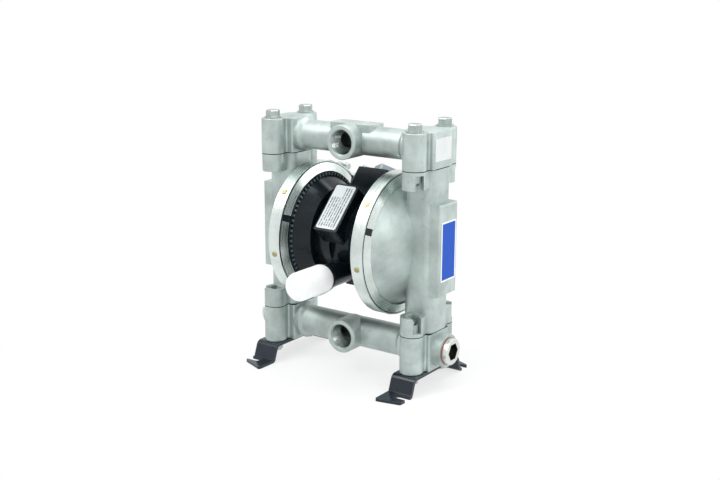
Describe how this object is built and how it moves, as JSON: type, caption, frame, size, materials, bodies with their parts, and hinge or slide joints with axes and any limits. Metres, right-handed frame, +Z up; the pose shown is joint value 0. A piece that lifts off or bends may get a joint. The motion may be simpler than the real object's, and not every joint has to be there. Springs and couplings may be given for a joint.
{
  "type": "air operated diaphragm pump",
  "caption": "Air operated double diaphragm pump: cast fluid covers and manifolds held by V clamps to a black air section, threaded ports, muffler and foot straps.",
  "frame": {"origin": "where the inlet port's axis crosses the run of the inlet manifold", "axes": "+X along the diaphragm shaft to the right-hand fluid cover, -Y out of the inlet and outlet ports, +Z up"},
  "size_m": [0.2386, 0.1792, 0.2695],
  "materials": {
    "air_section": "satin black coated housing",
    "fluid_castings": "bead-blasted stainless casting",
    "foot_straps": "semi-gloss black powder coat",
    "clamps": "bright stainless sheet",
    "clamp_rivets": "dull yellow chromate",
    "fasteners": "plain steel",
    "end_plugs": "turned steel",
    "plug_seals": "red-brown seal",
    "muffler": "matte white moulding",
    "diaphragms": "moulded elastomer",
    "balls": "white fluoropolymer",
    "o_rings": "black elastomer",
    "seats": "turned stainless",
    "rod": "ground shaft",
    "diaphragm_plates": "machined plate",
    "bushings": "acetal",
    "valve_plate": "ceramic",
    "name_plate": "bare rating plate, satin",
    "side_plate": "blue printed plate without words",
    "end_plate": "plain white label"
  },
  "bodies": {
    "pump_body": {"air_inlet_fitting": "end_plugs", "bottom_bolts": "fasteners", "centre_housing": "air_section", "clamp_nuts": "fasteners", "clamp_rivets": "clamp_rivets", "end_plate": "end_plate", "end_plugs": "end_plugs", "ground_screw": "fasteners", "inlet_manifold": "fluid_castings", "inlet_seats": "seats", "left_air_cover": "air_section", "left_clamp_band": "clamps", "left_clamp_bolt": "fasteners", "left_clamp_segments": "clamps", "left_cover_screws": "fasteners", "left_diaphragm": "diaphragms", "left_fluid_cover": "fluid_castings", "left_foot_strap": "foot_straps", "lug_nuts": "fasteners", "muffler": "muffler", "name_plate": "name_plate", "outlet_manifold": "fluid_castings", "outlet_seats": "seats", "pilot_bushings": "bushings", "plug_seals": "plug_seals", "right_air_cover": "air_section", "right_clamp_band": "clamps", "right_clamp_bolt": "fasteners", "right_clamp_segments": "clamps", "right_cover_screws": "fasteners", "right_diaphragm": "diaphragms", "right_fluid_cover": "fluid_castings", "right_foot_strap": "foot_straps", "seat_o_rings": "o_rings", "shaft_bushings": "bushings", "shaft_seals": "o_rings", "side_plate": "side_plate", "top_bolts": "fasteners", "valve_cover": "air_section", "valve_cover_screws": "fasteners", "valve_gasket": "o_rings", "valve_plate": "valve_plate"},
    "diaphragm_rod": {"diaphragm_shaft": "rod", "left_air_plate": "diaphragm_plates", "right_air_plate": "diaphragm_plates", "left_fluid_plate": "diaphragm_plates", "right_fluid_plate": "diaphragm_plates", "left_shaft_bolt": "fasteners", "right_shaft_bolt": "fasteners"},
    "left_inlet_ball": {"left_inlet_ball": "balls"},
    "right_inlet_ball": {"right_inlet_ball": "balls"},
    "left_outlet_ball": {"left_outlet_ball": "balls"},
    "right_outlet_ball": {"right_outlet_ball": "balls"},
    "valve_carriage": {"valve_carriage": "bushings"},
    "left_pilot_pin": {"left_pilot_pin": "rod"},
    "right_pilot_pin": {"right_pilot_pin": "rod"}
  },
  "joints": [
    {"name": "rod_slide", "type": "slide", "parent": "pump_body", "child": "diaphragm_rod", "axis": [1, 0, 0], "range_m": [-0.006, 0.006], "deforming": ["left_diaphragm", "right_diaphragm"]},
    {"name": "left_inlet_ball_lift", "type": "slide", "parent": "pump_body", "child": "left_inlet_ball", "axis": [0, 0, 1], "range_m": [0, 0.006]},
    {"name": "left_outlet_ball_lift", "type": "slide", "parent": "pump_body", "child": "left_outlet_ball", "axis": [0, 0, 1], "range_m": [0, 0.006]},
    {"name": "right_inlet_ball_lift", "type": "slide", "parent": "pump_body", "child": "right_inlet_ball", "axis": [0, 0, 1], "range_m": [0, 0.006]},
    {"name": "right_outlet_ball_lift", "type": "slide", "parent": "pump_body", "child": "right_outlet_ball", "axis": [0, 0, 1], "range_m": [0, 0.006]},
    {"name": "valve_slide", "type": "slide", "parent": "pump_body", "child": "valve_carriage", "axis": [1, 0, 0], "range_m": [-0.004, 0.004]},
    {"name": "left_pilot_push", "type": "slide", "parent": "pump_body", "child": "left_pilot_pin", "axis": [1, 0, 0], "range_m": [0, 0.0025]},
    {"name": "right_pilot_push", "type": "slide", "parent": "pump_body", "child": "right_pilot_pin", "axis": [-1, 0, 0], "range_m": [0, 0.0025]}
  ]
}
